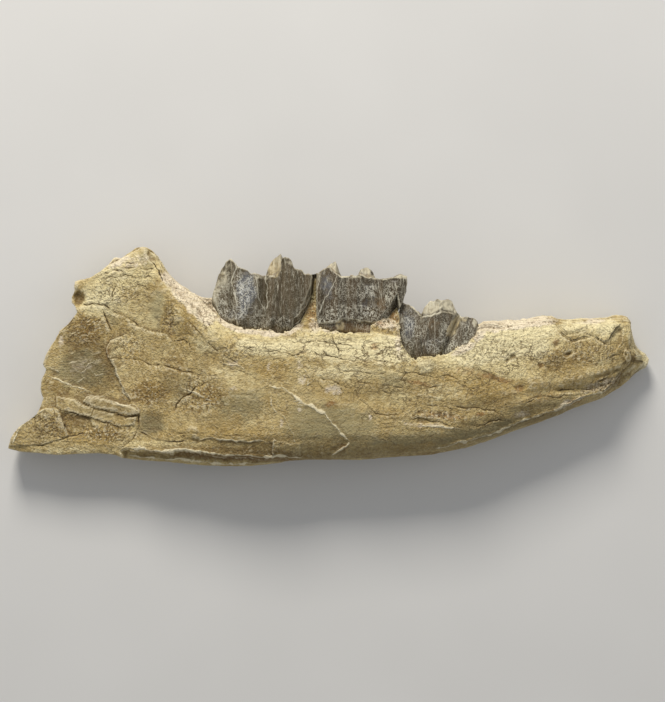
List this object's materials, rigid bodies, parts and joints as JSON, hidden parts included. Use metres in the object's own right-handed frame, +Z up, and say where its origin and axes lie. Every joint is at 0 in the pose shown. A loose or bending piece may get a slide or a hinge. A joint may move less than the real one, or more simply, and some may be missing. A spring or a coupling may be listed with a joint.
{
  "type": "fossil hyracodon jaw",
  "caption": "Length of fossil lower jaw bone lying on its inner side, with dark cheek teeth set in their sockets.",
  "frame": {"origin": "middle of the jaw's box, on the surface that it lies on", "axes": "+X to the front of the mouth, +Y to the chewing side, +Z up through the thickness from the inner side to the outer side"},
  "size_m": [0.2, 0.068, 0.023],
  "materials": {
    "fossil_bone": "mineralised bone, golden tan with brown and grey-green stains, cracked, matt with smooth patches",
    "tooth_enamel": "mineralised enamel, dark grey-brown with fine pale scratches and specks, glossy"
  },
  "bodies": {
    "root": {"jaw_bone": "fossil_bone", "molar_m3": "tooth_enamel", "molar_m2": "tooth_enamel", "molar_m1": "tooth_enamel"}
  },
  "joints": []
}
